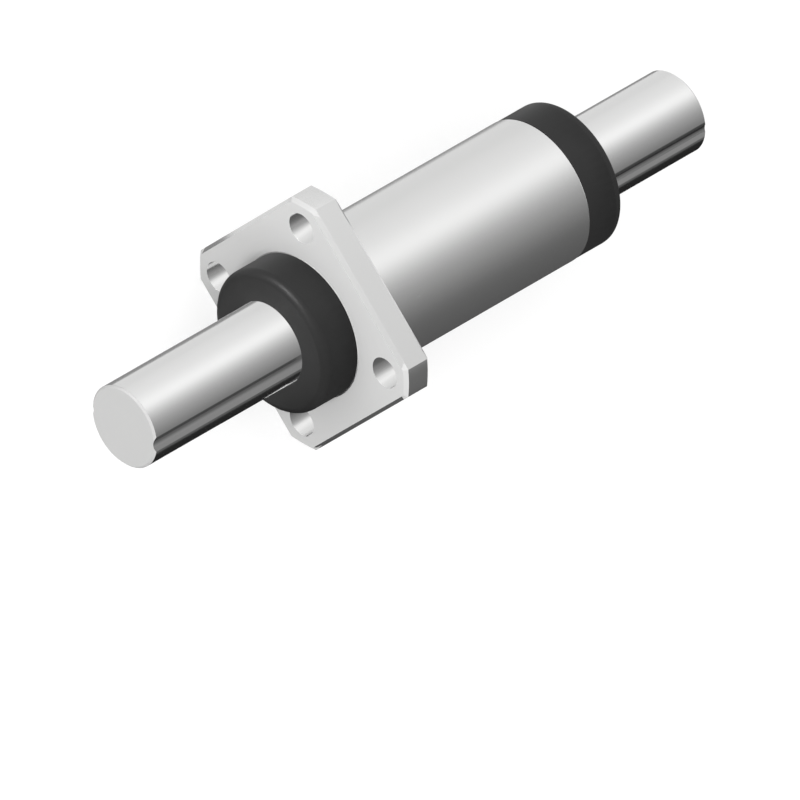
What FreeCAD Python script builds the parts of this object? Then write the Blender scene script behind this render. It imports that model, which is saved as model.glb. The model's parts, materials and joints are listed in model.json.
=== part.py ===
"""Flanged ball spline: a grooved shaft in a nut with two circuits of recirculating balls.

Millimetres. +X runs along the shaft from the flange towards the far end of the nut, +Z is up, and
the flats of the flange face Y and Z. The origin is on the axis, at the flange's mounting face.
"""

import FreeCAD, Part
import itertools
import math
import os

import Sketcher
from FreeCAD import Placement, Rotation, Vector

AXIS = Vector(1, 0, 0)
SKETCH_NORMAL = Vector(0, 0, 1)

# Driving dimensions, in millimetres and degrees.
SIZES = {
    # Shaft. The upper groove leans from +Z towards -Y, the lower one lies opposite.
    "shaft_dia": 12.0,
    "shaft_length": 103.0,
    "front_reach": 27.0,
    "shaft_end_break": 0.3,
    "groove_tilt": 45.0,
    "groove_mouth": 2.4,
    "groove_bevel": 0.73,
    # Balls. The centres of the loaded ones stand ball_rise outside the shaft's surface.
    "ball_dia": 2.381,
    "ball_rise": 0.8,
    "ball_spacing": 0.02,
    "raceway_gap": 0.05,
    "channel_gap": 0.08,
    "way_bevel": 0.35,
    "ramp_lift": 0.45,
    "ramp_length": 1.6,
    "turn_radius": 1.8,
    # Nut
    "nut_wall": 3.6,
    "nut_length": 43.5,
    "nut_edge_break": 0.2,
    "flange_thickness": 4.5,
    "flange_edge_break": 0.5,
    "bolt_hole_dia": 4.5,
    "bolt_standoff": 5.0,
    "bolt_side_wall": 2.04,
    "bolt_corner_wall": 1.75,
    # Ball retainers, two half shells in the bore
    "retainer_wall": 0.75,
    "retainer_shaft_gap": 0.1,
    "retainer_nut_gap": 0.05,
    "retainer_ball_gap": 0.02,
    # End plates and the return guides inside them
    "plate_length": 4.9,
    "plate_step": 0.05,
    "plate_shaft_gap": 0.15,
    "guide_wall": 0.2,
    "guide_gap": 0.03,
    # Seals
    "cover_length": 1.1,
    "cover_edge_break": 0.45,
    "cover_shaft_gap": 0.1,
    "lip_length": 0.55,
    "lip_width": 1.95,
    "lip_shaft_gap": 0.05,
    "lip_fit_gap": 0.03,
    # End plate screws, with hexagon heads
    "screw_dia": 1.6,
    "screw_length": 6.0,
    "screw_head_flats": 2.4,
    "screw_head_length": 1.0,
    "screw_hole_gap": 0.1,
    "thread_gap": 0.02,
    "tapped_depth": 5.0,
}

# What follows from the driving dimensions. In each end plate a ramp lifts the balls clear of the
# shaft before they turn. A circuit's own sketch is turned so that the top of the ramp and the
# return row lie at the same height, row_z, a chord of two turn radii apart.
WORKED = {
    "shaft_r": "Sizes.shaft_dia / 2",
    "ball_r": "Sizes.ball_dia / 2",
    "load_r": "shaft_r + Sizes.ball_rise",
    "raceway_r": "ball_r + Sizes.raceway_gap",
    "channel_r": "ball_r + Sizes.channel_gap",
    "bore_r": "shaft_r + Sizes.retainer_shaft_gap + Sizes.retainer_wall + Sizes.retainer_nut_gap",
    "nut_r": "bore_r + Sizes.nut_wall",
    "return_r": "bore_r + Sizes.nut_wall / 2",
    "chord": "2 * Sizes.turn_radius",
    "lifted_r": "load_r + Sizes.ramp_lift",
    "lifted_y": "(return_r ^ 2 - lifted_r ^ 2 - chord ^ 2) / (2 * chord)",
    "return_y": "lifted_y + chord",
    "turn_y": "lifted_y + Sizes.turn_radius",
    "row_z": "sqrt(lifted_r ^ 2 - lifted_y ^ 2)",
    "groove_turn": "Sizes.groove_tilt * 1 deg",
    "circuit_turn": "groove_turn + atan2(lifted_y; row_z)",
    "ramp_stretch": "sqrt(Sizes.ramp_lift ^ 2 + Sizes.ramp_length ^ 2) / Sizes.ramp_length",
    "front_x": "-Sizes.flange_thickness",
    "rear_x": "Sizes.nut_length - Sizes.flange_thickness",
    "plate_r": "nut_r - Sizes.plate_step",
    "plate_bore_r": "shaft_r + Sizes.plate_shaft_gap",
    "cap_length": "Sizes.plate_length + Sizes.cover_length",
    "shaft_x": "front_x - cap_length - Sizes.front_reach",
    "bolt_circle_r": "nut_r + Sizes.bolt_standoff",
    "bolt_offset": "bolt_circle_r * sqrt(0.5)",
    "flange_half": "bolt_offset + Sizes.bolt_hole_dia / 2 + Sizes.bolt_side_wall",
    "flange_corner_r": "bolt_circle_r + Sizes.bolt_hole_dia / 2 + Sizes.bolt_corner_wall",
    "flange_flat_end": "sqrt(flange_corner_r ^ 2 - flange_half ^ 2)",
    "retainer_in_r": "shaft_r + Sizes.retainer_shaft_gap",
    "retainer_out_r": "bore_r - Sizes.retainer_nut_gap",
    "retainer_slot_r": "ball_r + Sizes.retainer_ball_gap",
    "tongue_r": "raceway_r - Sizes.plate_shaft_gap",
    "lip_tongue_r": "raceway_r - Sizes.lip_shaft_gap",
    "lip_bore_r": "shaft_r + Sizes.lip_shaft_gap",
    "lip_half": "lip_bore_r + Sizes.lip_width",
    "guide_half": "channel_r + Sizes.guide_wall",
    "screw_turn": "groove_turn + 90 deg",
    "screw_hole_r": "Sizes.screw_dia / 2 + Sizes.screw_hole_gap",
    "screw_head_r": "Sizes.screw_head_flats / 2 / cos(30 deg)",
    "head_seat_half": "screw_head_r + Sizes.screw_hole_gap",
    "head_seat": "Sizes.plate_length - Sizes.screw_head_length",
    "tapped_r": "Sizes.screw_dia / 2 + Sizes.thread_gap",
    # The bevel along a groove runs from its mouth, on the shaft's surface, into the raceway.
    "mouth_half": "Sizes.groove_mouth / 2",
    "mouth_z": "sqrt(shaft_r ^ 2 - mouth_half ^ 2)",
    "bevel_half": "mouth_half - Sizes.groove_bevel",
    "bevel_z": "load_r - sqrt(raceway_r ^ 2 - bevel_half ^ 2)",
    "bevel_top_z": "shaft_r + Sizes.groove_bevel",
    "bevel_widening": "Sizes.groove_bevel * (bevel_top_z - mouth_z) / (mouth_z - bevel_z)",
    "bevel_top_half": "mouth_half + bevel_widening",
}

# How far round the shaft each circuit's sketches are turned, from +Z towards -Y.
GROOVE_TURNS = {"upper": "Worked.groove_turn", "lower": "Worked.groove_turn + 180 deg"}
CIRCUIT_TURNS = {"upper": "Worked.circuit_turn", "lower": "Worked.circuit_turn + 180 deg"}

doc = FreeCAD.newDocument("ball_spline")


def fill_sheets():
    """Puts the driving dimensions in one sheet and what follows from them in another."""
    sizes = doc.addObject("Spreadsheet::Sheet", "Sizes")
    for row, (name, number) in enumerate(SIZES.items(), 1):
        sizes.set(f"A{row}", name)
        sizes.set(f"B{row}", str(number))
        sizes.setAlias(f"B{row}", name)
    worked = doc.addObject("Spreadsheet::Sheet", "Worked")
    for row, (name, formula) in enumerate(WORKED.items(), 1):
        worked.set(f"A{row}", name)
        worked.set(f"B{row}", "=" + formula)
        worked.setAlias(f"B{row}", name)
    doc.recompute()


def number(formula):
    """The present value of an expression, such as 'Worked.nut_r'."""
    value = doc.getObject("Sizes").evalExpression(formula)
    return float(getattr(value, "Value", value))


def new_body(name, station):
    """A body whose own YZ plane stands at a station along the shaft."""
    body = doc.addObject("PartDesign::Body", name)
    body.Label = name
    body.setExpression("Placement.Base.x", station)
    return body


def new_sketch(body, name, turn="0 deg", station="0"):
    """A sketch across the shaft: its axes are Y and Z, turned about the shaft."""
    sketch = body.newObject("Sketcher::SketchObject", name)
    planes = [plane for plane in body.Origin.OriginFeatures if plane.Role == "YZ_Plane"]
    sketch.AttachmentSupport = [(planes[0], "")]
    sketch.MapMode = "FlatFace"
    place = Vector(0, 0, number(station))
    sketch.AttachmentOffset = Placement(place, Rotation(SKETCH_NORMAL, number(turn)))
    sketch.setExpression("AttachmentOffset.Base.z", station)
    sketch.setExpression("AttachmentOffset.Rotation.Angle", turn)
    return sketch


def hold(sketch, constraint, formula):
    """Adds a sized constraint and ties it to an expression."""
    index = sketch.addConstraint(constraint)
    sketch.setExpression(f"Constraints[{index}]", formula)


def hold_point(sketch, geometry, point, across, up):
    """Ties a point of the sketch to two expressions, or to an axis where one is '0'."""
    if across == "0":
        sketch.addConstraint(Sketcher.Constraint("PointOnObject", geometry, point, -2))
    else:
        where = Sketcher.Constraint("DistanceX", -1, 1, geometry, point, number(across))
        hold(sketch, where, across)
    if up == "0":
        sketch.addConstraint(Sketcher.Constraint("PointOnObject", geometry, point, -1))
    else:
        where = Sketcher.Constraint("DistanceY", -1, 1, geometry, point, number(up))
        hold(sketch, where, up)


def circle(sketch, radius, across="0", up="0"):
    centre = Vector(number(across), number(up), 0)
    index = sketch.addGeometry(Part.Circle(centre, SKETCH_NORMAL, number(radius)), False)
    hold(sketch, Sketcher.Constraint("Radius", index, number(radius)), radius)
    hold_point(sketch, index, 3, across, up)
    return index


def polygon(sketch, corners):
    """A closed outline of straight lines through corners given as pairs of expressions."""
    points = [Vector(number(across), number(up), 0) for across, up in corners]
    count = len(points)
    lines = []
    for start in range(count):
        line = Part.LineSegment(points[start], points[(start + 1) % count])
        lines.append(sketch.addGeometry(line, False))
    for start in range(count):
        after = lines[(start + 1) % count]
        sketch.addConstraint(Sketcher.Constraint("Coincident", lines[start], 2, after, 1))
    for line, (across, up) in zip(lines, corners):
        hold_point(sketch, line, 1, across, up)
    return lines


def rectangle(sketch, left, right, low, high):
    polygon(sketch, [(left, low), (right, low), (right, high), (left, high)])


def octagon(sketch, reach, flat, across="0", up="0", stretch="1"):
    """Eight sides round a point: four at a reach from it, each twice a flat long, and bevels."""
    corners = [
        (reach, "-" + flat), (reach, flat), (flat, reach), ("-" + flat, reach),
        ("-" + reach, flat), ("-" + reach, "-" + flat), ("-" + flat, "-" + reach),
        (flat, "-" + reach),
    ]
    polygon(sketch, [(f"{across} + {y}", f"{up} + {stretch} * ({z})") for y, z in corners])


def bevelled_way(sketch, across, up, stretch="1"):
    """A ball's way in section: a square with bevelled corners."""
    flat = "(Worked.channel_r - Sizes.way_bevel)"
    octagon(sketch, "Worked.channel_r", flat, across, up, stretch)


def square_way(sketch, across, up, stretch="1"):
    """A ball's way in section where it is hollowed in a return guide."""
    rise = f"{stretch} * Worked.channel_r"
    rectangle(
        sketch, f"{across} - Worked.channel_r", f"{across} + Worked.channel_r",
        f"{up} - {rise}", f"{up} + {rise}",
    )


def turning_axis(sketch):
    """The line that a circuit's turn is made about, as a construction line."""
    start = Vector(number("Worked.turn_y"), number("Worked.row_z / 2"), 0)
    end = Vector(number("Worked.turn_y"), number("Worked.row_z"), 0)
    line = sketch.addGeometry(Part.LineSegment(start, end), True)
    hold_point(sketch, line, 1, "Worked.turn_y", "Worked.row_z / 2")
    hold_point(sketch, line, 2, "Worked.turn_y", "Worked.row_z")


def shaft_outline(sketch, radius, groove_radius):
    """The shaft's section at a clearance: two wide arcs, and a hollow arc for each groove."""
    wide = number(radius)
    hollow = number(groove_radius)
    rise = number("Worked.load_r")
    half_angle = math.acos((wide ** 2 + rise ** 2 - hollow ** 2) / (2 * wide * rise))
    lean = math.atan2(wide * math.sin(half_angle), rise - wide * math.cos(half_angle))
    top = math.pi / 2
    arcs = []
    for side in (0, math.pi):
        body_arc = Part.Circle(Vector(0, 0, 0), SKETCH_NORMAL, wide)
        start, end = top + side + half_angle, top + side + math.pi - half_angle
        arcs.append(sketch.addGeometry(Part.ArcOfCircle(body_arc, start, end), False))
        foot = "-Worked.load_r" if side == 0 else "Worked.load_r"
        centre = Vector(0, number(foot), 0)
        groove_arc = Part.Circle(centre, SKETCH_NORMAL, hollow)
        start, end = top + side - lean, top + side + lean
        arcs.append(sketch.addGeometry(Part.ArcOfCircle(groove_arc, start, end), False))
        hold_point(sketch, arcs[-1], 3, "0", foot)
        sketch.addConstraint(Sketcher.Constraint("Coincident", arcs[-2], 3, -1, 1))
        hold(sketch, Sketcher.Constraint("Radius", arcs[-2], wide), radius)
        hold(sketch, Sketcher.Constraint("Radius", arcs[-1], hollow), groove_radius)
    first_wide, first_hollow, second_wide, second_hollow = arcs
    for one, other in (
        (first_wide, first_hollow), (second_wide, second_hollow),
    ):
        sketch.addConstraint(Sketcher.Constraint("Coincident", one, 2, other, 2))
    for one, other in (
        (second_wide, first_hollow), (first_wide, second_hollow),
    ):
        sketch.addConstraint(Sketcher.Constraint("Coincident", one, 1, other, 1))


def feature(body, kind, sketch, name):
    made = body.newObject("PartDesign::" + kind, name)
    made.Profile = sketch
    return made


def pad(body, sketch, name, length, forwards=True):
    made = feature(body, "Pad", sketch, name)
    made.setExpression("Length", length)
    made.Reversed = not forwards
    doc.recompute()
    return made


def cut_checked(body, name, before):
    """Stops the build when a cut has left the solid as it was."""
    doc.recompute()
    if not body.Shape.Volume < before - 1e-6:
        raise RuntimeError(f"{body.Label}: {name} cut nothing")


def pocket(body, sketch, name, depth, forwards=True):
    """A cut of a stated depth from the sketch, along +X or against it."""
    before = body.Shape.Volume
    made = feature(body, "Pocket", sketch, name)
    made.setExpression("Length", depth)
    made.Reversed = forwards
    cut_checked(body, name, before)
    return made


def pocket_through(body, sketch, name):
    """A cut right through the body, both ways from the sketch."""
    before = body.Shape.Volume
    made = feature(body, "Pocket", sketch, name)
    made.Type = "ThroughAll"
    made.SideType = "Symmetric"
    cut_checked(body, name, before)
    return made


def half_turn_cut(body, sketch, name, forwards):
    """A cut turned through 180 degrees about the sketch's construction line."""
    before = body.Shape.Volume
    made = feature(body, "Groove", sketch, name)
    made.ReferenceAxis = (sketch, ["Axis0"])
    made.Angle = 180
    made.Reversed = not forwards
    cut_checked(body, name, before)
    return made


def repeat_round(body, features, name, count):
    """Copies of the features, evenly spaced about the shaft's axis."""
    before = body.Shape.Volume
    made = body.newObject("PartDesign::PolarPattern", name)
    made.Originals = features
    axes = [axis for axis in body.Origin.OriginFeatures if axis.Role == "X_Axis"]
    made.Axis = (axes[0], [""])
    made.Angle = 360
    made.Occurrences = count
    body.Tip = made
    doc.recompute()
    if abs(body.Shape.Volume - before) < 1e-6:
        raise RuntimeError(f"{body.Label}: {name} repeated nothing")
    return made


def edge_names(shape, wanted):
    return [f"Edge{i}" for i, edge in enumerate(shape.Edges, 1) if wanted(edge)]


def chamfer(body, base, name, size, wanted):
    made = body.newObject("PartDesign::Chamfer", name)
    made.Base = (base, edge_names(base.Shape, wanted))
    made.setExpression("Size", size)
    doc.recompute()
    return made


def lies_at(edge, x):
    """True for an edge that lies in the plane at x."""
    box = edge.BoundBox
    return abs(box.XMin - x) < 1e-4 and abs(box.XMax - x) < 1e-4


def edge_reach(edge):
    """The greatest distance of an edge's points from the shaft's axis."""
    return max(math.hypot(point.y, point.z) for point in edge.discretize(9))


def is_arc(edge, radius):
    """True for a round edge of the given radius."""
    return isinstance(edge.Curve, Part.Circle) and abs(edge.Curve.Radius - radius) < 1e-4


def make_shaft():
    """The shaft: a ground bar with two ball grooves along it, opened out by wide bevels."""
    body = new_body("spline_shaft", "Worked.shaft_x")
    section = new_sketch(body, "shaft_section")
    circle(section, "Worked.shaft_r")
    pad(body, section, "shaft_bar", "Sizes.shaft_length")
    bevel = new_sketch(body, "groove_bevel", "Worked.groove_turn")
    polygon(bevel, [
        ("-Worked.bevel_half", "Worked.bevel_z"),
        ("Worked.bevel_half", "Worked.bevel_z"),
        ("Worked.bevel_top_half", "Worked.bevel_top_z"),
        ("-Worked.bevel_top_half", "Worked.bevel_top_z"),
    ])
    bevel_cut = pocket_through(body, bevel, "groove_bevel_cut")
    groove = new_sketch(body, "shaft_groove", "Worked.groove_turn")
    circle(groove, "Worked.raceway_r", "0", "Worked.load_r")
    groove_cut = pocket_through(body, groove, "shaft_groove_cut")
    both = repeat_round(body, [bevel_cut, groove_cut], "shaft_grooves", 2)
    length = number("Sizes.shaft_length")
    radius = number("Worked.shaft_r")
    body.Tip = chamfer(
        body, both, "shaft_ends", "Sizes.shaft_end_break",
        lambda edge: (lies_at(edge, 0) or lies_at(edge, length)) and is_arc(edge, radius),
    )
    return body


def flange_outline(sketch):
    """A square whose corners are turned to one diameter."""
    half = number("Worked.flange_half")
    end = number("Worked.flange_flat_end")
    corner = number("Worked.flange_corner_r")
    turned = Part.Circle(Vector(0, 0, 0), SKETCH_NORMAL, corner)
    corner_start = math.atan2(end, half)
    corner_end = math.pi / 2 - corner_start
    pieces = []
    for side in range(4):
        quarter = side * math.pi / 2
        into_place = Rotation(SKETCH_NORMAL, math.degrees(quarter))
        start = into_place.multVec(Vector(half, -end, 0))
        finish = into_place.multVec(Vector(half, end, 0))
        flat = sketch.addGeometry(Part.LineSegment(start, finish), False)
        arc = Part.ArcOfCircle(turned, quarter + corner_start, quarter + corner_end)
        pieces += [flat, sketch.addGeometry(arc, False)]
    for place, piece in enumerate(pieces):
        after = pieces[(place + 1) % len(pieces)]
        sketch.addConstraint(Sketcher.Constraint("Coincident", piece, 2, after, 1))
    for side in range(4):
        flat, arc = pieces[2 * side], pieces[2 * side + 1]
        upright = side % 2 == 0
        sketch.addConstraint(Sketcher.Constraint("Vertical" if upright else "Horizontal", flat))
        kind = "DistanceX" if upright else "DistanceY"
        away = half if side in (0, 1) else -half
        formula = "Worked.flange_half" if side in (0, 1) else "-Worked.flange_half"
        hold(sketch, Sketcher.Constraint(kind, -1, 1, flat, 1, away), formula)
        sketch.addConstraint(Sketcher.Constraint("Coincident", arc, 3, -1, 1))
        hold(sketch, Sketcher.Constraint("Radius", arc, corner), "Worked.flange_corner_r")


def make_nut():
    """The nut: a ground cylinder and its flange in one piece, with raceways and return holes."""
    body = new_body("flanged_nut", "Worked.front_x")
    section = new_sketch(body, "nut_section")
    circle(section, "Worked.nut_r")
    barrel = pad(body, section, "nut_barrel", "Sizes.nut_length")
    length = number("Sizes.nut_length")
    ends = chamfer(
        body, barrel, "nut_ends", "Sizes.nut_edge_break", lambda edge: lies_at(edge, length)
    )
    body.Tip = ends
    outline = new_sketch(body, "flange_outline")
    flange_outline(outline)
    flange = pad(body, outline, "flange", "Sizes.flange_thickness")
    beyond = number("Worked.nut_r") + 1
    flange = chamfer(
        body, flange, "flange_edges", "Sizes.flange_edge_break",
        lambda edge: edge.BoundBox.XLength < 1e-4 and edge_reach(edge) > beyond,
    )
    body.Tip = flange
    bore = new_sketch(body, "nut_bore")
    circle(bore, "Worked.bore_r")
    pocket_through(body, bore, "nut_bore_cut")
    raceway = new_sketch(body, "raceway", "Worked.groove_turn")
    circle(raceway, "Worked.raceway_r", "0", "Worked.load_r")
    first = pocket_through(body, raceway, "raceway_cut")
    repeat_round(body, [first], "raceways", 2)
    return_row = new_sketch(body, "return_hole", "Worked.circuit_turn")
    circle(return_row, "Worked.channel_r", "Worked.return_y", "Worked.row_z")
    first = pocket_through(body, return_row, "return_hole_cut")
    repeat_round(body, [first], "return_holes", 2)
    bolt = new_sketch(body, "bolt_hole")
    circle(bolt, "Sizes.bolt_hole_dia / 2", "Worked.bolt_offset", "Worked.bolt_offset")
    first = pocket_through(body, bolt, "bolt_hole_cut")
    repeat_round(body, [first], "bolt_holes", 4)
    for end, station, forwards in (("front", "0", True), ("rear", "Sizes.nut_length", False)):
        tapped = new_sketch(body, end + "_tapped_hole", "Worked.screw_turn", station)
        circle(tapped, "Worked.tapped_r", "0", "Worked.return_r")
        first = pocket(body, tapped, end + "_tapped_cut", "Sizes.tapped_depth", forwards)
        repeat_round(body, [first], end + "_tapped_holes", 2)
    return body


def along(formula, forwards):
    """A distance out from the nut's end face, signed for the end that it is at."""
    return formula if forwards else f"-({formula})"


def cut_turn_passage(body, prefix, circuit, forwards, way):
    """The way of the balls through an end cap: ramp, half turn and the way back to the nut."""
    turn = CIRCUIT_TURNS[circuit]
    ramp = new_sketch(body, prefix + "_ramp", GROOVE_TURNS[circuit])
    way(ramp, "0", "Worked.load_r", "Worked.ramp_stretch")
    rising = pocket(body, ramp, prefix + "_ramp_cut", "Sizes.ramp_length", forwards)
    lean = Rotation(AXIS, number(GROOVE_TURNS[circuit])).multVec(Vector(0, 0, 1))
    outwards = AXIS if forwards else -AXIS
    rising.UseCustomVector = True
    rising.Direction = (
        outwards * number("Sizes.ramp_length") + lean * number("Sizes.ramp_lift")
    )
    rising.AlongSketchNormal = True
    rising.Reversed = False
    station = along("Sizes.ramp_length", forwards)
    half_turn = new_sketch(body, prefix + "_half_turn", turn, station)
    way(half_turn, "Worked.lifted_y", "Worked.row_z")
    turning_axis(half_turn)
    half_turn_cut(body, half_turn, prefix + "_half_turn_cut", forwards)
    way_back = new_sketch(body, prefix + "_way_back", turn)
    way(way_back, "Worked.return_y", "Worked.row_z")
    pocket(body, way_back, prefix + "_way_back_cut", "Sizes.ramp_length", forwards)


def guide_outline(sketch, right, gap):
    """The long section of a return guide, or of its seat in the end plate, with a gap round."""
    left = f"Worked.lifted_y - {gap}"
    half_width = f"(Worked.guide_half + {gap})"
    rectangle(sketch, left, right, f"Worked.row_z - {half_width}", f"Worked.row_z + {half_width}")


def make_end_plate(end, station, forwards):
    """An end plate: it turns both circuits round and reaches into the shaft's grooves."""
    body = new_body(end + "_end_plate", station)
    section = new_sketch(body, end + "_plate_section")
    circle(section, "Worked.plate_r")
    pad(body, section, end + "_plate_disc", "Sizes.plate_length", forwards)
    bore = new_sketch(body, end + "_plate_bore", "Worked.groove_turn")
    shaft_outline(bore, "Worked.plate_bore_r", "Worked.tongue_r")
    pocket(body, bore, end + "_plate_bore_cut", "Sizes.plate_length", forwards)
    for circuit in ("upper", "lower"):
        prefix = f"{end}_{circuit}"
        cut_turn_passage(body, prefix, circuit, forwards, bevelled_way)
        turn = CIRCUIT_TURNS[circuit]
        straight = new_sketch(body, prefix + "_seat", turn)
        guide_outline(straight, "Worked.return_y + Sizes.guide_gap", "Sizes.guide_gap")
        pocket(body, straight, prefix + "_seat_cut", "Sizes.ramp_length", forwards)
        rounded = new_sketch(body, prefix + "_seat_end", turn, along("Sizes.ramp_length", forwards))
        guide_outline(rounded, "Worked.turn_y", "Sizes.guide_gap")
        turning_axis(rounded)
        half_turn_cut(body, rounded, prefix + "_seat_end_cut", forwards)
    screw = new_sketch(body, end + "_screw_hole", "Worked.screw_turn")
    circle(screw, "Worked.screw_hole_r", "0", "Worked.return_r")
    hole = pocket_through(body, screw, end + "_screw_hole_cut")
    repeat_round(body, [hole], end + "_screw_holes", 2)
    seat_station = along("Worked.head_seat", forwards)
    seat = new_sketch(body, end + "_head_seat", "Worked.screw_turn", seat_station)
    flat = "Worked.head_seat_half * tan(22.5 deg)"
    octagon(seat, "Worked.head_seat_half", flat, "0", "Worked.return_r")
    sink = pocket(body, seat, end + "_head_seat_cut", "Sizes.screw_head_length", forwards)
    repeat_round(body, [sink], end + "_head_seats", 2)
    return body


def make_return_guide(end, circuit, station, forwards):
    """A return guide: the inner wall of a turn, hollowed along its rim for the balls."""
    name = f"{end}_return_guide_{circuit}"
    turn = CIRCUIT_TURNS[circuit]
    body = new_body(name, station)
    straight = new_sketch(body, name + "_straight", turn)
    guide_outline(straight, "Worked.return_y", "0")
    pad(body, straight, name + "_block", "Sizes.ramp_length", forwards)
    rounded = new_sketch(body, name + "_end", turn, along("Sizes.ramp_length", forwards))
    guide_outline(rounded, "Worked.turn_y", "0")
    turning_axis(rounded)
    nose = feature(body, "Revolution", rounded, name + "_nose")
    nose.ReferenceAxis = (rounded, ["Axis0"])
    nose.Angle = 180
    nose.Reversed = not forwards
    doc.recompute()
    cut_turn_passage(body, name, circuit, forwards, square_way)
    bore = new_sketch(body, name + "_bore")
    circle(bore, "Worked.plate_bore_r")
    pocket_through(body, bore, name + "_bore_cut")
    return body


def make_retainer(name, opposite):
    """A ball retainer: half a thin sleeve whose long edges curve round the loaded balls."""
    side = "-" if opposite else ""
    body = new_body(name, "Worked.front_x")
    section = new_sketch(body, name + "_section", "Worked.groove_turn")
    circle(section, "Worked.retainer_out_r")
    circle(section, "Worked.retainer_in_r")
    pad(body, section, name + "_sleeve", "Sizes.nut_length")
    other_half = new_sketch(body, name + "_other_half", "Worked.groove_turn")
    polygon(other_half, [
        ("0", "-Worked.nut_r"),
        (side + "Worked.nut_r", "-Worked.nut_r"),
        (side + "Worked.nut_r", "Worked.nut_r"),
        ("0", "Worked.nut_r"),
    ])
    pocket_through(body, other_half, name + "_half_cut")
    slots = new_sketch(body, name + "_slots", "Worked.groove_turn")
    circle(slots, "Worked.retainer_slot_r", "0", "Worked.load_r")
    circle(slots, "Worked.retainer_slot_r", "0", "-Worked.load_r")
    pocket_through(body, slots, name + "_slot_cut")
    return body


def make_seal_lip(end, station, forwards):
    """A rubber wiper with a tongue in each groove of the shaft, eight-sided so it can't turn."""
    body = new_body(end + "_seal_lip", station)
    outline = new_sketch(body, end + "_lip_outline", "Worked.groove_turn")
    octagon(outline, "Worked.lip_half", "Worked.lip_half * tan(22.5 deg)")
    pad(body, outline, end + "_lip_disc", "Sizes.lip_length", forwards)
    bore = new_sketch(body, end + "_lip_bore", "Worked.groove_turn")
    shaft_outline(bore, "Worked.lip_bore_r", "Worked.lip_tongue_r")
    pocket_through(body, bore, end + "_lip_bore_cut")
    return body


def make_seal_cover(end, station, forwards):
    """The outer cover of an end cap, which holds the rubber wiper against the end plate."""
    body = new_body(end + "_seal_cover", station)
    section = new_sketch(body, end + "_cover_section")
    circle(section, "Worked.plate_r")
    disc = pad(body, section, end + "_cover_disc", "Sizes.cover_length", forwards)
    face = number(along("Sizes.cover_length", forwards))
    body.Tip = chamfer(
        body, disc, end + "_cover_edge", "Sizes.cover_edge_break",
        lambda edge: lies_at(edge, face),
    )
    bore = new_sketch(body, end + "_cover_bore")
    circle(bore, "Worked.shaft_r + Sizes.cover_shaft_gap")
    pocket_through(body, bore, end + "_cover_bore_cut")
    seat = new_sketch(body, end + "_lip_seat", "Worked.groove_turn")
    seat_half = "(Worked.lip_half + Sizes.lip_fit_gap)"
    octagon(seat, seat_half, f"{seat_half} * tan(22.5 deg)")
    depth = "Sizes.lip_length + Sizes.lip_fit_gap"
    pocket(body, seat, end + "_lip_seat_cut", depth, forwards)
    return body


def faceted_ball(radius):
    """A ball with twenty flat facets, its twelve corners on the sphere."""
    golden = (1 + math.sqrt(5)) / 2
    small = radius / math.hypot(1, golden)
    large = small * golden
    corners = []
    for one in (-small, small):
        for other in (-large, large):
            corners += [Vector(0, one, other), Vector(one, other, 0), Vector(other, 0, one)]
    faces = []
    for trio in itertools.combinations(corners, 3):
        sides = [one.distanceToPoint(other) for one, other in itertools.combinations(trio, 2)]
        if max(sides) < 2.1 * small:
            faces.append(Part.Face(Part.makePolygon([*trio, trio[0]])))
    return Part.Solid(Part.makeShell(faces))


def ball_group(name, ball, centres):
    """One node of balls, a copy at each centre."""
    balls = []
    for centre in centres:
        copy = ball.copy()
        copy.translate(centre)
        balls.append(copy)
    group = doc.addObject("Part::Feature", name)
    group.Label = name
    group.Shape = Part.makeCompound(balls)
    group.Placement = Placement()


def turn_point(distance, circuit, face, outwards):
    """The place of a ball in a turn, a distance along its way from the loaded row's end."""
    ramp_length = number("Sizes.ramp_length")
    ramp_lift = number("Sizes.ramp_lift")
    radius = number("Sizes.turn_radius")
    ramp = math.hypot(ramp_length, ramp_lift)
    on_groove = Rotation(AXIS, number(GROOVE_TURNS[circuit]))
    on_circuit = Rotation(AXIS, number(CIRCUIT_TURNS[circuit]))
    if distance < ramp:
        share = max(distance, 0) / ramp
        out = min(distance, 0) + share * ramp_length
        place = Vector(0, 0, number("Worked.load_r") + share * ramp_lift)
        return on_groove.multVec(place) + AXIS * (face + outwards * out)
    angle = min((distance - ramp) / radius, math.pi)
    left_over = distance - ramp - angle * radius
    across = number("Worked.turn_y") - radius * math.cos(angle)
    out = ramp_length + radius * math.sin(angle) - left_over
    place = Vector(0, across, number("Worked.row_z"))
    return on_circuit.multVec(place) + AXIS * (face + outwards * out)


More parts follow.
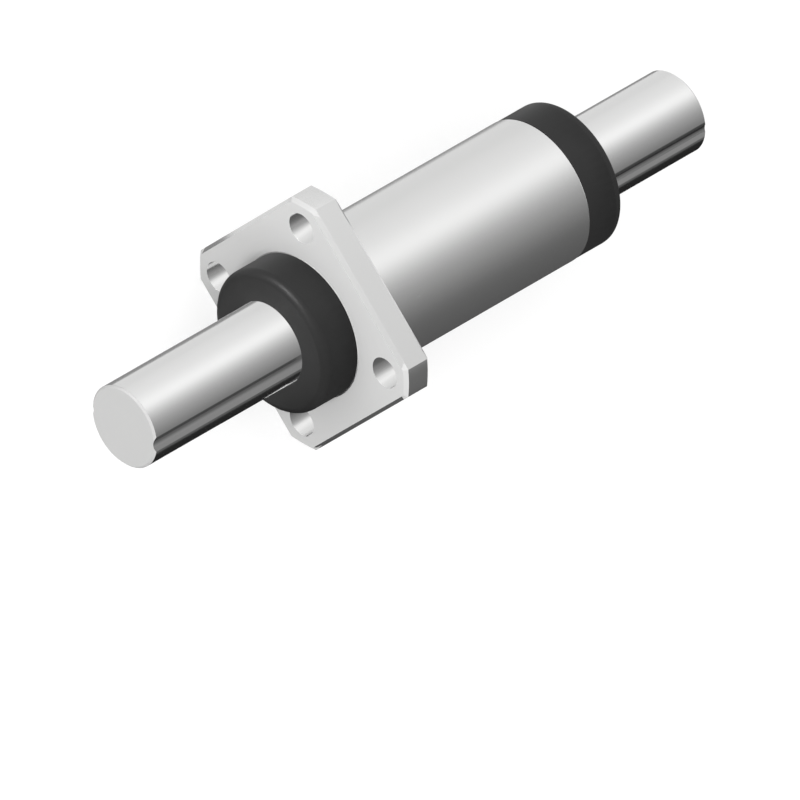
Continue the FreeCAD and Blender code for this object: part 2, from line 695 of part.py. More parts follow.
def make_balls():
    """Both circuits of balls: a loaded row, a return row and the balls in the turns."""
    ball = faceted_ball(number("Worked.ball_r"))
    pitch = number("Sizes.ball_dia") + number("Sizes.ball_spacing")
    length = number("Sizes.nut_length")
    front = number("Worked.front_x")
    count = math.floor(length / pitch)
    first = front + (length - (count - 1) * pitch) / 2
    lead = first - front
    ramp = math.hypot(number("Sizes.ramp_length"), number("Sizes.ramp_lift"))
    way = ramp + math.pi * number("Sizes.turn_radius") + number("Sizes.ramp_length")
    turn_count = math.floor((way + 2 * lead) / pitch) - 1
    step = (way + 2 * lead) / (turn_count + 1)
    rows = (
        ("load", GROOVE_TURNS, Vector(0, 0, number("Worked.load_r"))),
        ("return", CIRCUIT_TURNS, Vector(0, number("Worked.return_y"), number("Worked.row_z"))),
    )
    for circuit in ("upper", "lower"):
        for row, turns, place in rows:
            across = Rotation(AXIS, number(turns[circuit])).multVec(place)
            centres = [across + AXIS * (first + i * pitch) for i in range(count)]
            ball_group(f"{row}_balls_{circuit}", ball, centres)
        for end, face, outwards in (("front", front, -1), ("rear", number("Worked.rear_x"), 1)):
            centres = [
                turn_point(i * step - lead, circuit, face, outwards)
                for i in range(1, turn_count + 1)
            ]
            ball_group(f"{end}_turn_balls_{circuit}", ball, centres)


def make_screws(end, station, forwards):
    """The two hexagon-head screws that hold an end plate, sunk under the seal's cover."""
    outwards = AXIS if forwards else -AXIS
    head_radius = number("Worked.screw_head_r")
    head_length = number("Sizes.screw_head_length")
    radius = number("Sizes.screw_dia / 2")
    length = number("Sizes.screw_length")
    screws = []
    for opposite in (0, 180):
        around = Rotation(AXIS, number("Worked.screw_turn") + opposite)
        seat = around.multVec(Vector(0, 0, number("Worked.return_r")))
        seat += AXIS * number(station) + outwards * number("Worked.head_seat")
        corner = around.multVec(Vector(0, 0, head_radius))
        corners = [seat + Rotation(AXIS, 60 * turn).multVec(corner) for turn in range(7)]
        head = Part.Face(Part.makePolygon(corners)).extrude(outwards * head_length)
        shank = Part.makeCylinder(radius, length, seat, -outwards)
        screws.append(head.fuse(shank).removeSplitter())
    group = doc.addObject("Part::Feature", end + "_plate_screws")
    group.Label = end + "_plate_screws"
    group.Shape = Part.makeCompound(screws)
    group.Placement = Placement()


def write_parts():
    """Checks every object and writes each sub-part to its own file."""
    doc.recompute()
    for item in doc.Objects:
        if "Invalid" in item.State or "Error" in item.State:
            raise RuntimeError(f"{item.Name} is in state {item.State}")
    nodes = [i for i in doc.Objects if i.TypeId in ("PartDesign::Body", "Part::Feature")]
    for node in nodes:
        if node.Shape.isNull() or not node.Shape.isValid():
            raise RuntimeError(f"{node.Label} has no valid shape")
    os.makedirs("parts", exist_ok=True)
    for node in nodes:
        node.Shape.exportStep(os.path.join("parts", node.Label + ".step"))
        print(f"{node.Label}: {len(node.Shape.Solids)} solids, {node.Shape.Volume:.2f} mm3")


fill_sheets()
make_shaft()
make_nut()
make_retainer("ball_retainer_left", False)
make_retainer("ball_retainer_right", True)
make_balls()
for end, station, forwards in (
    ("front", "Worked.front_x", False),
    ("rear", "Worked.rear_x", True),
):
    sign = "+" if forwards else "-"
    plate_face = f"{station} {sign} Sizes.plate_length"
    make_end_plate(end, station, forwards)
    make_return_guide(end, "upper", station, forwards)
    make_return_guide(end, "lower", station, forwards)
    make_screws(end, station, forwards)
    make_seal_lip(end, plate_face, forwards)
    make_seal_cover(end, plate_face, forwards)
write_parts()
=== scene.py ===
import bmesh
import bpy
import json
import math
from mathutils import Matrix, Vector


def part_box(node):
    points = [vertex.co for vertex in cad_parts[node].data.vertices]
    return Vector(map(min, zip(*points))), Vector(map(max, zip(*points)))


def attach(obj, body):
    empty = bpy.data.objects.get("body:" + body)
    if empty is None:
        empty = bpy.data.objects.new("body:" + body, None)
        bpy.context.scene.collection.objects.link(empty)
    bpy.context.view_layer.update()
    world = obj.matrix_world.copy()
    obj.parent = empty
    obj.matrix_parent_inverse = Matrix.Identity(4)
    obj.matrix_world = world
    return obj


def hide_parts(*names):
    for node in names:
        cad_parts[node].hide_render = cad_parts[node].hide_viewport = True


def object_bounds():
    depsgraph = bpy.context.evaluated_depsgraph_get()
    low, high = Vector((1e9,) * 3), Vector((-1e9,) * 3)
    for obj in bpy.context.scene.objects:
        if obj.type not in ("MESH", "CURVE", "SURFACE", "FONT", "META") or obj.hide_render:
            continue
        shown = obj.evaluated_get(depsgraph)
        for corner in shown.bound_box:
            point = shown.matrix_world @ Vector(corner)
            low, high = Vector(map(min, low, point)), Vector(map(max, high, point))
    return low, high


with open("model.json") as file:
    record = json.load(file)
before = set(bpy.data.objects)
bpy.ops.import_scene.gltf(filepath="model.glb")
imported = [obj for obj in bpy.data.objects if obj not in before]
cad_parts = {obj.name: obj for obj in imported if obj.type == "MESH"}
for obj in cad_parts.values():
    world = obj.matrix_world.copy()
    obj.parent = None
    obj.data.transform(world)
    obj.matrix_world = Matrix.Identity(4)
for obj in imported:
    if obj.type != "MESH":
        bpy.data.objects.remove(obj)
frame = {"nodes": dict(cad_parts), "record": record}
bpy.context.view_layer.update()
cad_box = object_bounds()


def distances_from_axis(node):
    """The nearest and the furthest that a node's corners lie from the shaft's axis."""
    corners = [corner.co for corner in frame["nodes"][node].data.vertices]
    distances = [math.hypot(corner.y, corner.z) for corner in corners]
    return min(distances), max(distances)


# Metres, in the frame of the solids: +X along the shaft, +Z up, the axis at the origin.
MM = 0.001

# How the picture is taken. The two directions are the camera's own, in the object's frame.
TO_CAMERA = Vector((-math.sqrt(1 / 3), 0, math.sqrt(2 / 3)))
IMAGE_RIGHT = Vector((math.sqrt(1 / 2), -0.5, 0.5))
IMAGE_CENTRE = Vector((3.2 * MM, -15.04 * MM, 0))
IMAGE_WIDTH = 105.5 * MM
SENSOR_WIDTH = 36
LENS = 1600

# Sizes that the record and the solids give
MOUNTS = {mount["name"]: mount["dims"] for mount in frame["record"]["mounts"]}
SHAFT_RADIUS = MOUNTS["shaft_front_journal"]["r_mm"] * MM
NUT_RADIUS = MOUNTS["nut_seat"]["r_mm"] * MM
COVER_INNER, COVER_OUTER = distances_from_axis("front_seal_cover")
FLANGE_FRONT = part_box("flanged_nut")[0].x
FLANGE_CORNER = distances_from_axis("flanged_nut")[1]
REAR_COVER_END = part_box("rear_seal_cover")[1].x

# Balls: a solid one has twenty facets of three corners each, and all its corners come in a row.
CORNERS_PER_FACETED_BALL = 20 * 3
BALL_SUBDIVISIONS = 2

# Covers of the end caps: the radius of the hollow behind, the wall in front of it, the roundings
# of the outer edge and of the bore's, and how finely they are made
COVER_HOLLOW = 8.7 * MM
COVER_WALL = 0.5 * MM
COVER_ROUNDING = {"front": 1.1 * MM, "rear": 0.6 * MM}
COVER_BORE_ROUNDING = 0.03 * MM
ROUNDING_STEPS = 6
COVER_SIDES = 160

# Bevels put on the edges of the solids, by material slot: width and segments. They go where faces
# turn by more than the sharp angle, after corners closer than the weld distance are joined.
EDGE_ROUNDING = {
    "shaft_steel": (0.05 * MM, 2),
    "nut_steel": (0.10 * MM, 3),
    "end_plate_resin": (0.02 * MM, 1),
    "seal_rubber": (0.05 * MM, 2),
}
WELD_DISTANCE = 0.0005 * MM
SHARP_ANGLE = math.radians(28)

# Round surfaces that are shaded as true cylinders, by slot: their radii in millimetres, how far
# a point may lie from one, and how far its normal may lean along the shaft
ROUND_SURFACES = {
    "shaft_steel": SHAFT_RADIUS / MM,
    "nut_steel": NUT_RADIUS / MM,
    "end_plate_resin": COVER_OUTER / MM,
}
ROUND_REACH = 0.03
ROUND_LEAN = 0.95

# Satin surfaces, by slot: faces square to the shaft and bevels that lie beyond these distances
# from the axis, in millimetres, and how squarely each is turned along the shaft. On the nut they
# are the flange's faces and the bevels of its corners.
SATIN_FACE_FROM = {"shaft_steel": 0.0, "nut_steel": NUT_RADIUS / MM + 0.1}
SATIN_BEVEL_FROM = {"shaft_steel": 0.0, "nut_steel": FLANGE_CORNER / MM - 0.7}
FACE_TURN = 0.9
BEVEL_TURN = 0.5

# Textures of the steel. Scales are per millimetre, and LINE_DRIFT is the one at which a turned line
# changes on its way round the shaft.
LINE_DRIFT = 0.05
CLOUD_SCALE = 0.12
CLOUD_DETAIL = 2.0
STEEL_STAIN = 0.03
STEEL_RELIEF = 0.01 * MM
STEEL_SPECULAR = 0.15
STEEL_EDGE = 0.25 * MM
WORN_STEEL = 0.93

# Textures of the resins and the rubber
GRAIN_SCALE = 9.0
GRAIN_DETAIL = 4.0
GRAIN_ROUGHNESS = 0.6
FLOW_SCALE = 0.35
RESIN_RELIEF = 0.02 * MM
RESIN_EDGE = 0.3 * MM

# How finely edges are found for wear, and how soon it is full
EDGE_SAMPLES = 6
EDGE_GAIN = 6.0

# Floor, world, the lamp in front and the card that lights the caps' rims
FLOOR_SIZE = 12.0
FLOOR_ALBEDO = 0.36
FLOOR_GLOW = 0.70
FLOOR_DROP = 0.02 * MM
WORLD_STRENGTH = 1.0
FRONT_LAMP_POWER = 1.5
FRONT_LAMP_PLACE = Vector((-0.50, -0.04, 0.23))
FRONT_LAMP_SIZE = 0.20
RIM_CARD_PLACE = Vector((-0.21, 0.18, 0.12))
RIM_CARD_RADIUS = 0.055
RIM_CARD_SIDES = 32
RIM_CARD_GLOW = 33.0

# Brightness of the shaded card by its angle from straight up, in degrees towards -Y
CARD_GREYS = (
    (-110, 0.90), (-85, 0.97), (-54, 1.04), (-36, 1.18), (-25, 1.26), (-15, 1.21), (-5, 1.00),
    (6, 0.79), (18, 0.60), (32, 0.46), (54, 0.31), (82, 0.17), (117, 0.125), (148, 0.085),
    (180, 0.06),
)

# The card curves round the axis from one of these angles to another, drops to the floor at -Y and
# runs in along it. It stops at one distance from the axis in front of the split, which lies just
# behind the flange's mounting face, and at another behind it.
CARD_RADIUS = 0.30
CARD_FROM = CARD_GREYS[0][0]
CARD_TO = 90
CARD_STEPS = 60
CARD_REACH = 0.7
CARD_LIFT = 0.4 * MM
CARD_SPLIT = 0.3 * MM
CARD_NEAR_FRONT = 16.5 * MM
CARD_NEAR_REAR = 10.9 * MM

# Flags, in millimetres: x from and to, y from and to, and the height of the edge at the second y,
# where None is the floor. The black ones darken the lower edge of the bare shaft. The grey ones,
# on the other side, darken the upper edges, and the pale ones beyond them soften the upper sides.
# Those beside the bare shaft end a small gap short of the flange and of the rear cover.
FLAG_GAP = 0.2
BEFORE_FLANGE = FLANGE_FRONT / MM - FLAG_GAP
BEHIND_FLANGE = CARD_SPLIT / MM
BEHIND_COVER = REAR_COVER_END / MM + FLAG_GAP
BLACK_FLAGS = (
    (-75, BEFORE_FLANGE, -10.9, -10.9, -0.4),
    (-75, BEFORE_FLANGE, -10.9, -8.5, None),
    (-13, 1, -8.5, -5.6, None),
    (BEHIND_COVER, 110, -10.9, -10.9, -0.3),
    (BEHIND_COVER, 110, -10.9, -8.5, None),
)
GREY_FLAGS = (
    (-75, BEHIND_FLANGE, 8.5, 22, None),
    (BEHIND_FLANGE, 56, 8.5, 21, None),
    (56, 130, 8.5, 17.5, None),
)
PALE_FLAGS = (
    (-75, BEHIND_FLANGE, 22, 280, None),
    (BEHIND_FLANGE, 56, 21, 280, None),
    (56, 130, 17.5, 280, None),
    (130, 400, 8.5, 280, None),
)
BLACK_FLAG = 0.02
GREY_FLAG = 0.3
PALE_FLAG = 0.91


class Shader:
    """A material's node tree, with short ways to add and link nodes."""

    def __init__(self, name):
        self.material = bpy.data.materials.new(name)
        self.material.use_nodes = True
        self.tree = self.material.node_tree
        self.tree.nodes.clear()
        self.output = self.tree.nodes.new("ShaderNodeOutputMaterial")

    def put(self, socket, value):
        """Gives a socket its value, or links another node's output to it."""
        if isinstance(value, bpy.types.NodeSocket):
            self.tree.links.new(value, socket)
        else:
            socket.default_value = value

    def add(self, kind, settings=None, **inputs):
        """A node with its settings, each input a value or another node's output."""
        node = self.tree.nodes.new("ShaderNode" + kind)
        for name, value in (settings or {}).items():
            setattr(node, name, value)
        for name, value in inputs.items():
            self.put(node.inputs[name.replace("_", " ")], value)
        return node

    def math(self, operation, *values):
        """What a calculation on one, two or three values gives."""
        node = self.add("Math", {"operation": operation})
        for socket, value in zip(node.inputs, values):
            self.put(socket, value)
        return node.outputs["Value"]

    def average(self, one, other):
        """The middle of two values."""
        return self.math("MULTIPLY", self.math("ADD", one, other), 0.5)

    def mix(self, kind, factor, start, end):
        """Goes from start to end, two colours or two vectors, as the factor goes from 0 to 1."""
        return self.add("Mix", {"data_type": kind}, Factor=factor, A=start, B=end).outputs["Result"]

    def spread(self, value, low, high):
        """Maps a 0 to 1 value to the range from low to high."""
        return self.add("MapRange", Value=value, To_Min=low, To_Max=high).outputs["Result"]

    def ramp(self, value, stops):
        """A smooth grey ramp through (place, grey) stops."""
        node = self.add("ValToRGB", Fac=value)
        node.color_ramp.interpolation = "B_SPLINE"
        elements = node.color_ramp.elements
        while len(elements) < len(stops):
            elements.new(0.5)
        for element, (place, grey) in zip(elements, stops):
            element.position = place
            element.color = (grey, grey, grey, 1)
        return node.outputs["Color"]

    def noise(self, vector, scale, detail=3.0, roughness=0.5):
        """A cloudy pattern of values from 0 to 1."""
        node = self.add("TexNoise", Vector=vector, Scale=scale, Detail=detail, Roughness=roughness)
        return node.outputs["Fac"]

    def finish(self, surface):
        """Takes a shader node's output as the surface and gives the finished material."""
        self.tree.links.new(surface, self.output.inputs["Surface"])
        return self.material


def row_place(shader):
    """The place in the object's own frame, in millimetres, whole and by component."""
    place = shader.add("TexCoord").outputs["Object"]
    scaled = shader.add("VectorMath", {"operation": "SCALE"}, Vector=place, Scale=1 / MM)
    split = shader.add("SeparateXYZ", Vector=scaled.outputs["Vector"])
    return scaled.outputs["Vector"], split.outputs["X"], split.outputs["Y"], split.outputs["Z"]


def from_axis(shader, y, z):
    """The way to a place straight out from the axis, and its length."""
    across = shader.add("CombineXYZ", X=0.0, Y=y, Z=z).outputs["Vector"]
    length = shader.add("VectorMath", {"operation": "LENGTH"}, Vector=across).outputs["Value"]
    return across, length


def lean_along(shader, normal):
    """How squarely a normal points along the shaft, one way or the other, from 0 to 1."""
    return shader.math("ABSOLUTE", shader.add("SeparateXYZ", Vector=normal).outputs["X"])


def turned_lines(shader, scale):
    """Fine lines round the axis, as turning and grinding leave: they vary along and outwards."""
    place, x, y, z = row_place(shader)
    radius = from_axis(shader, y, z)[1]
    lines = shader.add(
        "CombineXYZ",
        X=shader.math("MULTIPLY", x, scale),
        Y=shader.math("MULTIPLY", radius, scale),
        Z=shader.math("MULTIPLY", y, LINE_DRIFT),
    ).outputs["Vector"]
    drift = shader.math("MULTIPLY", z, LINE_DRIFT)
    settings = {"noise_dimensions": "4D"}
    node = shader.add("TexNoise", settings, Vector=lines, W=drift, Scale=1.0, Detail=3.0)
    return node.outputs["Fac"], place


def near_edges(shader, width):
    """1 close to a sharp edge and 0 elsewhere, from how a rounded normal would differ."""
    rounded = shader.add("Bevel", {"samples": EDGE_SAMPLES}, Radius=width).outputs["Normal"]
    plain = shader.add("NewGeometry").outputs["Normal"]
    same = shader.add("VectorMath", {"operation": "DOT_PRODUCT"})
    shader.put(same.inputs[0], rounded)
    shader.put(same.inputs[1], plain)
    apart = shader.math("SUBTRACT", 1.0, same.outputs["Value"])
    return shader.math("MINIMUM", shader.math("MULTIPLY", apart, EDGE_GAIN), 1.0)


def true_round(shader, slot):
    """The surface's normal, taken straight out from the axis where the slot's cylinder is."""
    plain = shader.add("NewGeometry").outputs["Normal"]
    if slot not in ROUND_SURFACES:
        return plain
    y, z = row_place(shader)[2:]
    across, radius = from_axis(shader, y, z)
    outwards = shader.add("VectorMath", {"operation": "NORMALIZE"}, Vector=across).outputs["Vector"]
    on_round = shader.math("COMPARE", radius, ROUND_SURFACES[slot], ROUND_REACH)
    upright = shader.math("LESS_THAN", lean_along(shader, plain), ROUND_LEAN)
    return shader.mix("VECTOR", shader.math("MULTIPLY", on_round, upright), plain, outwards)


def bumped(shader, slot, height, strength, distance):
    """The normal with a fine relief on it."""
    normal = true_round(shader, slot)
    node = shader.add("Bump", Height=height, Strength=strength, Distance=distance, Normal=normal)
    return node.outputs["Normal"]


def satin_faces(shader, slot):
    """1 on the faces and bevels of the slot that are satin, and 0 elsewhere."""
    y, z = row_place(shader)[2:]
    radius = from_axis(shader, y, z)[1]
    along = lean_along(shader, shader.add("TexCoord").outputs["Normal"])
    kinds = [
        shader.math(
            "MULTIPLY",
            shader.math("GREATER_THAN", radius, start[slot]),
            shader.math("GREATER_THAN", along, turn),
        )
        for start, turn in ((SATIN_FACE_FROM, FACE_TURN), (SATIN_BEVEL_FROM, BEVEL_TURN))
    ]
    return shader.math("MAXIMUM", *kinds)


def stained(shader, tone, colour):
    """A steel's colour, a little darker where the tone is low."""
    low = tuple(channel - STEEL_STAIN for channel in colour)
    return shader.mix("RGBA", tone, (*low, 1), (*colour, 1))


def steel(slot, name, colour, rough, lines, bump, wear=0.0, satin=None):
    """Ground or polished steel: fine turned lines, faint clouding and brighter edges.

    Satin is the look, as colour, metal and rough, of the faces that satin_faces picks out.
    """
    shader = Shader(name)
    grind, place = turned_lines(shader, lines)
    tone = shader.average(grind, shader.noise(place, CLOUD_SCALE, CLOUD_DETAIL))
    base = stained(shader, tone, colour)
    if wear:
        worn = shader.math("MULTIPLY", near_edges(shader, STEEL_EDGE), wear)
        base = shader.mix("RGBA", worn, base, (WORN_STEEL, WORN_STEEL, WORN_STEEL, 1))
    metal = 1.0
    roughness = shader.spread(tone, *rough)
    if satin:
        face = satin_faces(shader, slot)
        base = shader.mix("RGBA", face, base, stained(shader, tone, satin["colour"]))
        metal = shader.spread(face, 1.0, satin["metal"])
        extra = shader.math("MULTIPLY", face, satin["rough"] - rough[1])
        roughness = shader.math("ADD", roughness, extra)
    surface = shader.add(
        "BsdfPrincipled",
        Base_Color=base,
        Metallic=metal,
        Roughness=roughness,
        Specular_IOR_Level=STEEL_SPECULAR,
        Normal=bumped(shader, slot, grind, bump, STEEL_RELIEF),
    )
    return shader.finish(surface.outputs["BSDF"])


def resin(slot, name, dark, light, rough, grain=0.25, specular=0.4, wear=0.6):
    """Moulded resin or rubber: a fine dull grain, faint flow marks and rubbed edges."""
    shader = Shader(name)
    place = row_place(shader)[0]
    fine = shader.noise(place, GRAIN_SCALE, GRAIN_DETAIL, GRAIN_ROUGHNESS)
    tone = shader.average(fine, shader.noise(place, FLOW_SCALE))
    rubbed = tone
    if wear:
        worn = shader.math("MULTIPLY", near_edges(shader, RESIN_EDGE), wear)
        rubbed = shader.math("MINIMUM", shader.math("ADD", tone, worn), 1.0)
    surface = shader.add(
        "BsdfPrincipled",
        Base_Color=shader.mix("RGBA", rubbed, (*dark, 1), (*light, 1)),
        Roughness=shader.spread(tone, *rough),
        Specular_IOR_Level=specular,
        Normal=bumped(shader, slot, fine, grain, RESIN_RELIEF),
    )
    return shader.finish(surface.outputs["BSDF"])


def make_finishes():
    """One finish for each material slot of the record."""
    shaft_satin = {"colour": (0.52, 0.52, 0.517), "metal": 0.04, "rough": 0.60}
    nut_satin = {"colour": (0.60, 0.60, 0.597), "metal": 0.04, "rough": 0.60}
    steels = {
        "shaft_steel": {
            "name": "shaft_polished", "colour": (0.74, 0.74, 0.737), "rough": (0.14, 0.20),
            "lines": 9.0, "bump": 0.015, "satin": shaft_satin,
        },
        "ball_steel": {
            "name": "ball_polished", "colour": (0.80, 0.80, 0.81), "rough": (0.05, 0.10),
            "lines": 3.0, "bump": 0.01,
        },
        "screw_steel": {
            "name": "screw_plain", "colour": (0.45, 0.45, 0.46), "rough": (0.30, 0.42),
            "lines": 8.0, "bump": 0.10,
        },
        "nut_steel": {
            "name": "nut_ground", "colour": (0.72, 0.72, 0.716), "rough": (0.20, 0.27),
            "lines": 6.0, "bump": 0.015, "wear": 0.35, "satin": nut_satin,
        },
    }
    cap_look = {
        "dark": (0.017, 0.017, 0.017), "light": (0.029, 0.029, 0.029), "rough": (0.40, 0.50),
        "grain": 0.15, "specular": 0.17, "wear": 0.0,
    }
    resins = {
        "end_plate_resin": {"name": "end_plate_moulded", **cap_look},
        "seal_cover_resin": {"name": "seal_cover_moulded", **cap_look},
        "guide_resin": {
            "name": "guide_moulded", "dark": (0.030, 0.030, 0.033), "light": (0.060, 0.060, 0.065),
            "rough": (0.35, 0.50),
        },
        "retainer_resin": {
            "name": "retainer_moulded", "dark": (0.040, 0.040, 0.043),
            "light": (0.075, 0.075, 0.080), "rough": (0.35, 0.50),
        },
        "seal_rubber": {
            "name": "lip_rubber", "dark": (0.010, 0.010, 0.010), "light": (0.022, 0.022, 0.022),
            "rough": (0.60, 0.80), "grain": 0.4, "specular": 0.25,
        },
    }
    finishes = {slot: steel(slot, **look) for slot, look in steels.items()}
    finishes.update({slot: resin(slot, **look) for slot, look in resins.items()})
    return finishes


def round_edges(piece, width, segments):
    """Joins the mesh along its sharp edges and rolls them over a little."""
    weld = piece.modifiers.new("weld", "WELD")
    weld.merge_threshold = WELD_DISTANCE
    bevel = piece.modifiers.new("edge_rounding", "BEVEL")
    bevel.width = width
    bevel.segments = segments
    bevel.limit_method = "ANGLE"
    bevel.angle_limit = SHARP_ANGLE
    bevel.harden_normals = True


def dress_solids(finishes):
    """Gives each solid its slot's finish, and soft edges where the slot has them."""
    for part in frame["record"]["subparts"]:
        piece = frame["nodes"][part["node"]]
        slot = part["material_slot"]
        for place in piece.material_slots:
            place.material = finishes[slot]
        if slot in EDGE_ROUNDING:
            round_edges(piece, *EDGE_ROUNDING[slot])


def mesh_of(build, name):
    """Makes a mesh of a bmesh, which is used up."""
    mesh = bpy.data.meshes.new(name)
    build.to_mesh(mesh)
    build.free()
    return mesh


def new_piece(name, mesh, finish):
    """An object in the scene, with one mesh and one finish."""
    mesh.materials.append(finish)
    piece = bpy.data.objects.new(name, mesh)
    bpy.context.scene.collection.objects.link(piece)
    return piece


def faceted_balls(node):
    """The middle and the radius of each faceted ball, whose corners lie on the real sphere."""
    corners = [corner.co for corner in frame["nodes"][node].data.vertices]
    for start in range(0, len(corners), CORNERS_PER_FACETED_BALL):
        ball = corners[start:start + CORNERS_PER_FACETED_BALL]
        centre = sum(ball, Vector()) / len(ball)
        yield centre, (ball[0] - centre).length


def make_balls(finish):
    """Smooth polished balls in the places of the faceted ones."""
    pieces = []
    for node in [name for name in frame["nodes"] if "_balls_" in name]:
        build = bmesh.new()
        for centre, radius in faceted_balls(node):
            place = Matrix.Translation(centre)
            bmesh.ops.create_icosphere(
                build, subdivisions=BALL_SUBDIVISIONS, radius=radius, matrix=place
            )
        mesh = mesh_of(build, node + "_polished")
        mesh.shade_smooth()
        balls = new_piece(node + "_polished", mesh, finish)
        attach(balls, "nut")
        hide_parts(node)
        pieces.append(balls)
    return pieces


def cover_profile(back, face, rounding):
    """The section of a cap's cover as (x, radius) corners, from its back to its outer face."""
    out = 1 if face > back else -1
    turns = [math.pi / 2 * step / ROUNDING_STEPS for step in range(ROUNDING_STEPS + 1)]
    rounded = [
        (
            face - out * rounding * (1 - math.sin(turn)),
            COVER_OUTER - rounding * (1 - math.cos(turn)),
        )
        for turn in turns
    ]
    shelf = face - out * COVER_WALL
    return [(back, COVER_HOLLOW), (back, COVER_OUTER)] + rounded + [
        (face, COVER_INNER + COVER_BORE_ROUNDING),
        (face - out * COVER_BORE_ROUNDING, COVER_INNER),
        (shelf, COVER_INNER),
        (shelf, COVER_HOLLOW),
    ]


def turned_ring(profile):
    """A bmesh of a closed section that is turned once round the shaft's axis."""
    build = bmesh.new()
    rings = []
    for side in range(COVER_SIDES):
        turn = 2 * math.pi * side / COVER_SIDES
        rings.append([
            build.verts.new((x, radius * math.cos(turn), radius * math.sin(turn)))
            for x, radius in profile
        ])
    for ring, after in zip(rings, rings[1:] + rings[:1]):
        for i in range(len(profile)):
            j = (i + 1) % len(profile)
            build.faces.new((ring[i], ring[j], after[j], after[i]))
    bmesh.ops.recalc_face_normals(build, faces=build.faces)
    return build


def make_covers(finish):
    """The end caps' covers, with the soft outer edge of a moulding."""
    pieces = []
    for end in ("front", "rear"):
        node = end + "_seal_cover"
        low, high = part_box(node)
        back, face = (high.x, low.x) if end == "front" else (low.x, high.x)
        build = turned_ring(cover_profile(back, face, COVER_ROUNDING[end]))
        mesh = mesh_of(build, node + "_rounded")
        mesh.shade_smooth()
        mesh.set_sharp_from_angle(angle=SHARP_ANGLE)
        cover = new_piece(node + "_rounded", mesh, finish)
        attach(cover, "nut")
        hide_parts(node)
        pieces.append(cover)
    return pieces


def keep_out_of_reflections(pieces):
    """In the photograph no piece mirrors another: the steel shows only the cards round it."""
    for piece in pieces:
        piece.visible_glossy = False


def new_stage_piece(name, mesh, finish):
    """A piece of the studio, which isn't part of the object, though it is made like any other
    piece.
    """
    piece = new_piece(name, mesh, finish)
    return piece


def only_in_reflections(piece):
    """Keeps a card out of sight of all but reflections: it darkens no floor and hides nothing."""
    for ray in ("camera", "diffuse", "transmission", "volume_scatter", "shadow"):
        setattr(piece, "visible_" + ray, False)


def floor_material():
    """A white floor that keeps a soft shadow: part of its white is its own glow."""
    shader = Shader("floor_white")
    diffuse = shader.add("BsdfDiffuse", Color=(FLOOR_ALBEDO, FLOOR_ALBEDO, FLOOR_ALBEDO, 1))
    path = shader.add("LightPath").outputs
    seen = shader.math("MAXIMUM", path["Is Camera Ray"], path["Is Glossy Ray"])
    seen = shader.math("MAXIMUM", seen, path["Is Transmission Ray"])
    strength = shader.math("MULTIPLY", seen, FLOOR_GLOW)
    glow = shader.add("Emission", Color=(1, 1, 1, 1), Strength=strength)
    both = shader.add("AddShader")
    shader.put(both.inputs[0], diffuse.outputs["BSDF"])
    shader.put(both.inputs[1], glow.outputs["Emission"])
    return shader.finish(both.outputs["Shader"])


def make_floor(height):
    """One square face under the object."""
    half = FLOOR_SIZE / 2
    sides = ((-half, -half), (half, -half), (half, half), (-half, half))
    mesh = bpy.data.meshes.new("floor")
    mesh.from_pydata([(x, y, height) for x, y in sides], [], [(0, 1, 2, 3)])
    new_stage_piece("floor", mesh, floor_material())


def glow_material(name, strength):
    """An even glow, for a flag or a card: its grey is what it shows in reflections."""
    shader = Shader(name)
    glow = shader.add("Emission", Color=(1, 1, 1, 1), Strength=strength)
    return shader.finish(glow.outputs["Emission"])


def card_material():
    """A grey that falls off round the card, from bright overhead to dark at its foot."""
    shader = Shader("card_grey")
    y, z = row_place(shader)[2:]
    turn = shader.math("ARCTAN2", shader.math("MULTIPLY", y, -1.0), z)
    degrees = shader.math("MULTIPLY", turn, 180 / math.pi)
    first, last = CARD_GREYS[0][0], CARD_GREYS[-1][0]
    share = shader.math("DIVIDE", shader.math("SUBTRACT", degrees, first), last - first)
    peak = max(grey for _, grey in CARD_GREYS)
    stops = [((angle - first) / (last - first), grey / peak) for angle, grey in CARD_GREYS]
    glow = shader.add("Emission", Color=shader.ramp(share, stops), Strength=peak)
    return shader.finish(glow.outputs["Emission"])


def make_card(floor_height):
    """A shaded card that curves over the object from the +Y side and lies on the floor at -Y."""
    foot = floor_height + CARD_LIFT
    profile = []
    for step in range(CARD_STEPS + 1):
        turn = math.radians(CARD_FROM + (CARD_TO - CARD_FROM) * step / CARD_STEPS)
        profile.append((-CARD_RADIUS * math.sin(turn), CARD_RADIUS * math.cos(turn)))
    profile.append((-CARD_RADIUS, foot))
    points = [(x, y, z) for y, z in profile for x in (-CARD_REACH, CARD_REACH)]
    faces = [(2 * i, 2 * i + 1, 2 * i + 3, 2 * i + 2) for i in range(len(profile) - 1)]
    for x_from, x_to, near in (
        (-CARD_REACH, CARD_SPLIT, CARD_NEAR_FRONT), (CARD_SPLIT, CARD_REACH, CARD_NEAR_REAR),
    ):
        faces.append(tuple(range(len(points), len(points) + 4)))
        points += [(x_from, -CARD_RADIUS, foot), (x_to, -CARD_RADIUS, foot)]
        points += [(x_to, -near, foot), (x_from, -near, foot)]
    mesh = bpy.data.meshes.new("shaded_card")
    mesh.from_pydata(points, [], faces)
    only_in_reflections(new_stage_piece("shaded_card", mesh, card_material()))


def make_flags(name, flags, strength, floor_height):
    """Flags of one grey that lie on the floor along the object, or stand on it."""
    foot = floor_height + CARD_LIFT
    points = []
    for x_from, x_to, y_from, y_to, top in flags:
        high = foot if top is None else top * MM
        points += [(x_from * MM, y_from * MM, foot), (x_to * MM, y_from * MM, foot)]
        points += [(x_to * MM, y_to * MM, high), (x_from * MM, y_to * MM, high)]
    faces = [tuple(range(start, start + 4)) for start in range(0, len(points), 4)]
    mesh = bpy.data.meshes.new(name)
    mesh.from_pydata(points, [], faces)
    only_in_reflections(new_stage_piece(name, mesh, glow_material(name, strength)))


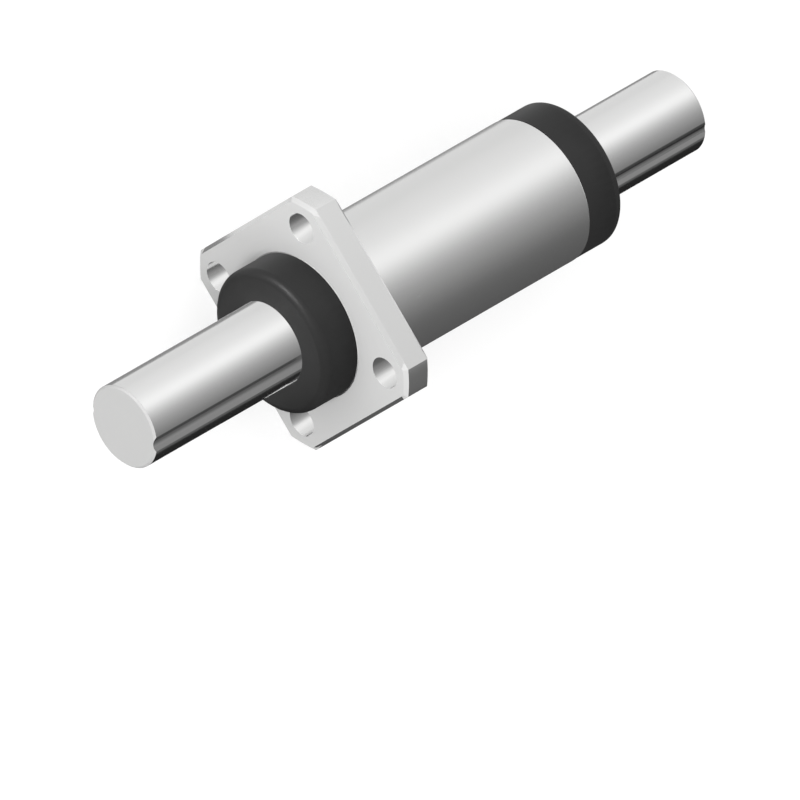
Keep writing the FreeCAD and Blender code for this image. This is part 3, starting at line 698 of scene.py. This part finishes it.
def aim(item, place):
    """Puts a lamp or a card in its place and turns its front to the origin."""
    item.location = place
    item.rotation_euler = (-place).to_track_quat("-Z", "Y").to_euler()


def make_world():
    """A white room all round."""
    world = bpy.data.worlds.new("white_room")
    world.use_nodes = True
    background = world.node_tree.nodes["Background"]
    background.inputs["Color"].default_value = (1, 1, 1, 1)
    background.inputs["Strength"].default_value = WORLD_STRENGTH
    bpy.context.scene.world = world


def make_front_lamp():
    """One soft lamp high in front, which the steel doesn't mirror."""
    data = bpy.data.lights.new("front_lamp", "AREA")
    data.shape = "DISK"
    data.size = FRONT_LAMP_SIZE
    data.energy = FRONT_LAMP_POWER
    lamp = bpy.data.objects.new("front_lamp", data)
    bpy.context.scene.collection.objects.link(lamp)
    lamp.visible_glossy = False
    aim(lamp, FRONT_LAMP_PLACE)


def make_rim_card():
    """A small bright card that lights the caps' rims."""
    build = bmesh.new()
    bmesh.ops.create_circle(
        build, cap_ends=True, segments=RIM_CARD_SIDES, radius=RIM_CARD_RADIUS
    )
    mesh = mesh_of(build, "rim_card")
    card = new_stage_piece("rim_card", mesh, glow_material("rim_card", RIM_CARD_GLOW))
    only_in_reflections(card)
    aim(card, RIM_CARD_PLACE)


def make_camera():
    """A long lens, so far off that lines along the shaft stay parallel, as in the photograph."""
    data = bpy.data.cameras.new("camera")
    data.lens = LENS
    data.sensor_width = SENSOR_WIDTH
    distance = IMAGE_WIDTH * LENS / SENSOR_WIDTH
    data.clip_end = 2 * distance
    camera = bpy.data.objects.new("camera", data)
    bpy.context.scene.collection.objects.link(camera)
    image_up = TO_CAMERA.cross(IMAGE_RIGHT)
    turn = Matrix((IMAGE_RIGHT, image_up, TO_CAMERA)).transposed()
    camera.matrix_world = Matrix.Translation(IMAGE_CENTRE + TO_CAMERA * distance) @ turn.to_4x4()
    bpy.context.scene.camera = camera


def main():
    finishes = make_finishes()
    dress_solids(finishes)
    pieces = list(frame["nodes"].values())
    pieces += make_balls(finishes["ball_steel"])
    pieces += make_covers(finishes["seal_cover_resin"])
    keep_out_of_reflections(pieces)
    floor_height = cad_box[0].z - FLOOR_DROP
    make_floor(floor_height)
    make_card(floor_height)
    make_flags("black_flags", BLACK_FLAGS, BLACK_FLAG, floor_height)
    make_flags("grey_flags", GREY_FLAGS, GREY_FLAG, floor_height)
    make_flags("pale_flags", PALE_FLAGS, PALE_FLAG, floor_height)
    make_world()
    make_front_lamp()
    make_rim_card()
    make_camera()
    bpy.context.scene.view_settings.view_transform = "Standard"


main()
bpy.context.view_layer.update()
